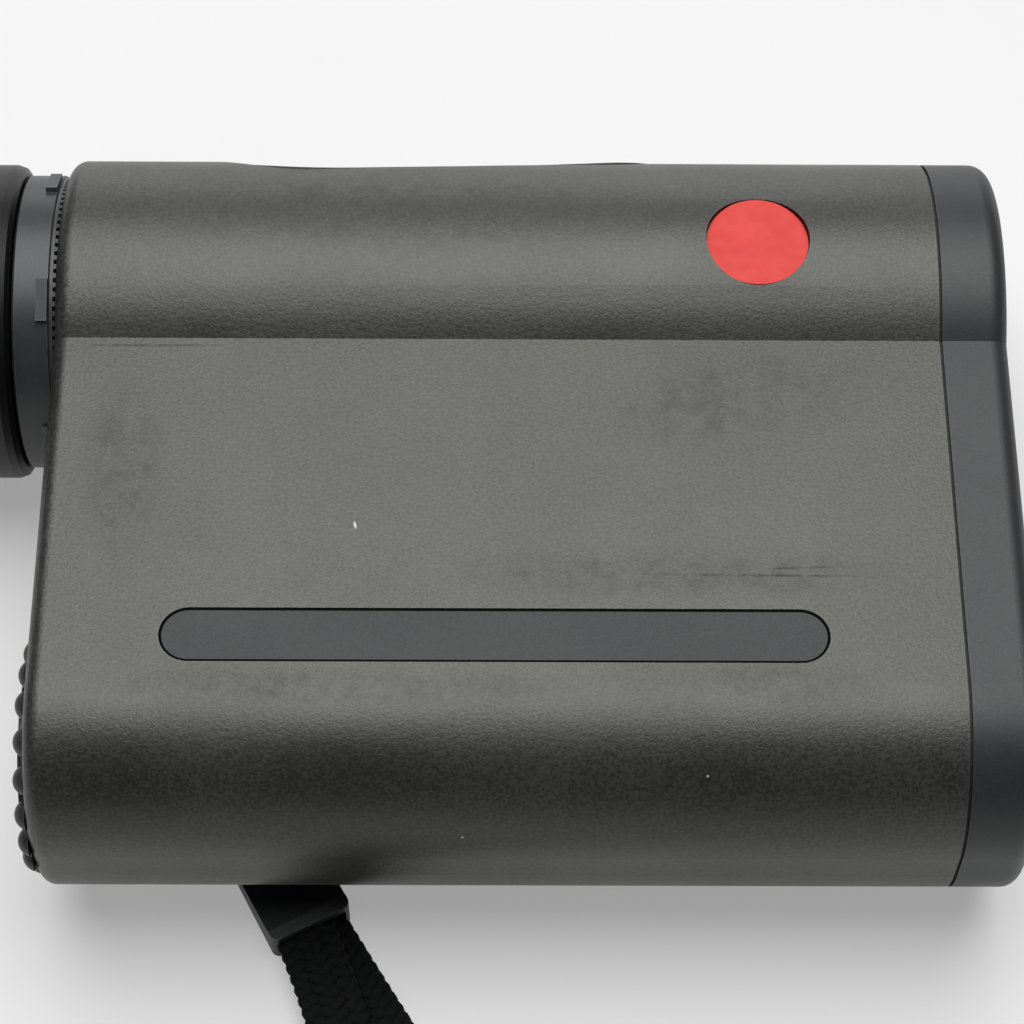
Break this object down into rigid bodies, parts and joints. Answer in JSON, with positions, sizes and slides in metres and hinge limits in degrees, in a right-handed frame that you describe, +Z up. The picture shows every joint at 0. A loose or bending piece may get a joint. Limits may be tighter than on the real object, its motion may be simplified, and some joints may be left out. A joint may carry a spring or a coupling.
{
  "type": "laser rangefinder",
  "caption": "Pocket laser rangefinder: a round optical tube over a flat battery and laser body, with a twist-up eyecup, a dioptre ring, a screw-in battery cap and a wrist strap.",
  "frame": {"origin": "on the table, under the middle of the device, which lies on its left side", "axes": "+X forward along the optical axis to the objective, +Y towards the device's top, where the measure button is, +Z up from the table through its right side"},
  "size_m": [0.113, 0.1712, 0.034],
  "materials": {
    "housing": "matte",
    "bezel": "matte",
    "rest_rubber": "matte",
    "button_plastic": "satin",
    "seal_rubber": "matte",
    "board": "satin",
    "chips": "matte",
    "plate": "satin",
    "badge": "gloss",
    "black_metal": "matte",
    "glass": "gloss",
    "can_metal": "satin",
    "frame_metal": "satin",
    "inner_plastic": "matte",
    "flex": "satin",
    "ring": "satin",
    "cup_rubber": "matte",
    "cap": "matte",
    "cell": "satin",
    "screw_steel": "satin",
    "clip": "satin",
    "webbing": "matte"
  },
  "bodies": {
    "housing": {"main_housing": "housing", "rear_cover": "housing", "front_bezel": "bezel", "rear_gasket": "seal_rubber", "front_gasket": "seal_rubber", "finger_rest": "rest_rubber", "button_seal": "seal_rubber", "switch_board": "board", "tact_switch": "chips", "name_plate": "plate", "round_badge": "badge", "objective_cell": "black_metal", "objective_lens": "glass", "objective_ring": "black_metal", "objective_oring": "seal_rubber", "laser_barrel": "black_metal", "laser_lens": "glass", "laser_ring": "black_metal", "laser_diode": "can_metal", "laser_board": "board", "half_penta_prism": "glass", "roof_prism": "glass", "prism_clamp": "can_metal", "optical_frame": "frame_metal", "display_frame": "inner_plastic", "display_panel": "glass", "field_stop": "black_metal", "receiver_board": "board", "detector": "can_metal", "main_board": "board", "board_components": "chips", "flex_cable": "flex", "eyepiece_barrel": "black_metal", "battery_tube": "inner_plastic", "battery": "cell", "battery_spring": "can_metal", "rear_screws": "screw_steel", "front_screws": "screw_steel", "board_screws": "screw_steel", "lug_pin": "screw_steel", "lug_cord": "webbing", "strap_clip": "clip", "wrist_strap": "webbing"},
    "measure_button": {"measure_button": "button_plastic"},
    "dioptre_ring": {"dioptre_ring": "ring"},
    "ocular": {"ocular_cell": "black_metal", "eye_lens": "glass", "ocular_spacer": "black_metal", "field_lens": "glass", "ocular_ring": "black_metal"},
    "eyecup_guide": {"eyecup_guide": "inner_plastic"},
    "eyecup": {"eyecup": "cup_rubber", "eyecup_carrier": "inner_plastic"},
    "cap_seal": {"cap_oring": "seal_rubber"},
    "battery_cap": {"battery_cap": "cap", "cap_contact": "can_metal"}
  },
  "joints": [
    {"name": "measure_press", "type": "slide", "parent": "housing", "child": "measure_button", "axis": [0, -1, 0], "range_m": [0, 0.0008], "stiffness_N_per_m": 1500, "springref_m": -0.0004},
    {"name": "ocular_focus", "type": "slide", "parent": "housing", "child": "ocular", "axis": [1, 0, 0], "range_m": [-0.0013, 0.0013]},
    {"name": "dioptre_turn", "type": "hinge", "parent": "housing", "child": "dioptre_ring", "pos_m": [-0.037, 0.0216, 0.017], "axis": [1, 0, 0], "range_deg": [-60, 60]},
    {"name": "eyecup_out", "type": "slide", "parent": "housing", "child": "eyecup_guide", "axis": [-1, 0, 0], "range_m": [0, 0.0055]},
    {"name": "eyecup_twist", "type": "hinge", "parent": "eyecup_guide", "child": "eyecup", "pos_m": [-0.0475, 0.0216, 0.017], "axis": [-1, 0, 0], "range_deg": [0, 110]},
    {"name": "cap_out", "type": "slide", "parent": "housing", "child": "cap_seal", "axis": [-1, 0, 0], "range_m": [0, 0.005]},
    {"name": "cap_turn", "type": "hinge", "parent": "cap_seal", "child": "battery_cap", "pos_m": [-0.035, -0.0261, 0.017], "axis": [-1, 0, 0], "range_deg": [0, 900]}
  ],
  "couplings": [
    {"joint": "dioptre_turn", "follows": "ocular_focus", "rad_per_m": 804.73},
    {"joint": "eyecup_twist", "follows": "eyecup_out", "rad_per_m": 348.72},
    {"joint": "cap_turn", "follows": "cap_out", "rad_per_m": 3138.5}
  ]
}
